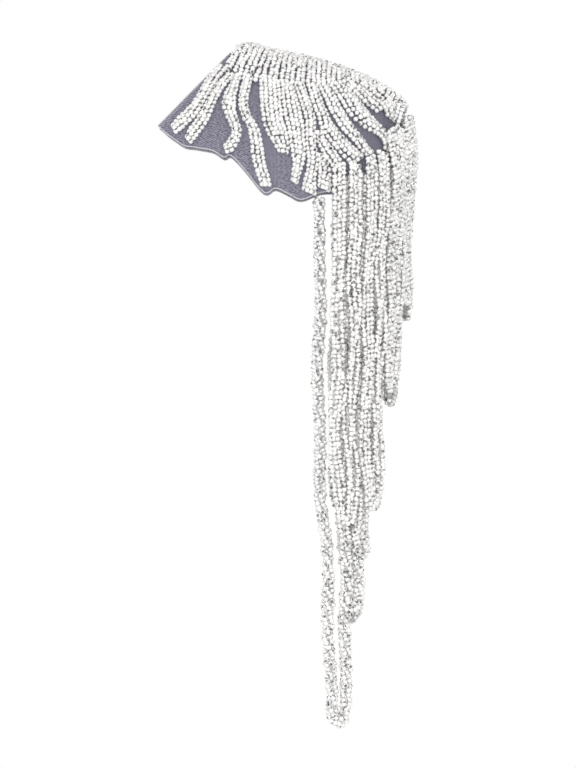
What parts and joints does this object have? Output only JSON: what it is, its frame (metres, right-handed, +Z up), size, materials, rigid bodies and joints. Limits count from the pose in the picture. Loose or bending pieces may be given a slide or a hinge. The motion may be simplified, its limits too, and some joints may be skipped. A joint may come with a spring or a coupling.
{
  "type": "beaded epaulette",
  "caption": "Curved net pad for one shoulder with sewn bands of clear silver-lined beads fanning from a beaded spine, and a long stepped fringe of bead loops hanging from its outer hem.",
  "frame": {"origin": "middle of the underside of the net on the shoulder line, where the pad sits on the shoulder", "axes": "+X outward along the shoulder towards the arm, +Y to the back, so the front is at -Y, +Z up"},
  "size_m": [0.1848, 0.1393, 0.4889],
  "materials": {
    "net": "fine stiff mauve-grey net with a rolled whitish hem",
    "pad_beads": "round silver-lined clear glass beads, bright with dark drill holes",
    "fringe_beads": "round silver-lined clear glass beads strung three strings to a strand"
  },
  "bodies": {
    "root": {"net_pad": "net", "spine_beads": "pad_beads", "front_finger_01": "pad_beads", "front_finger_02": "pad_beads", "front_finger_03": "pad_beads", "front_finger_04": "pad_beads", "front_finger_05": "pad_beads", "front_finger_06": "pad_beads", "front_finger_07": "pad_beads", "front_finger_08": "pad_beads", "front_finger_09": "pad_beads", "front_finger_10": "pad_beads", "front_finger_11": "pad_beads", "front_finger_12": "pad_beads", "front_finger_13": "pad_beads", "front_finger_14": "pad_beads", "back_finger_01": "pad_beads", "back_finger_02": "pad_beads", "back_finger_03": "pad_beads", "back_finger_04": "pad_beads", "back_finger_05": "pad_beads", "back_finger_06": "pad_beads", "back_finger_07": "pad_beads", "back_finger_08": "pad_beads", "back_finger_09": "pad_beads", "back_finger_10": "pad_beads", "back_finger_11": "pad_beads", "back_finger_12": "pad_beads", "back_finger_13": "pad_beads", "back_finger_14": "pad_beads", "front_loop_01": "fringe_beads", "front_loop_02": "fringe_beads", "front_loop_03": "fringe_beads", "front_loop_04": "fringe_beads", "front_loop_05": "fringe_beads", "front_loop_06": "fringe_beads", "front_loop_07": "fringe_beads", "front_loop_08": "fringe_beads", "front_loop_09": "fringe_beads", "front_loop_10": "fringe_beads", "front_loop_11": "fringe_beads", "back_loop_01": "fringe_beads", "back_loop_02": "fringe_beads", "back_loop_03": "fringe_beads", "back_loop_04": "fringe_beads", "back_loop_05": "fringe_beads", "back_loop_06": "fringe_beads", "back_loop_07": "fringe_beads", "back_loop_08": "fringe_beads", "back_loop_09": "fringe_beads", "back_loop_10": "fringe_beads", "back_loop_11": "fringe_beads", "tip_loop": "fringe_beads"}
  },
  "joints": []
}
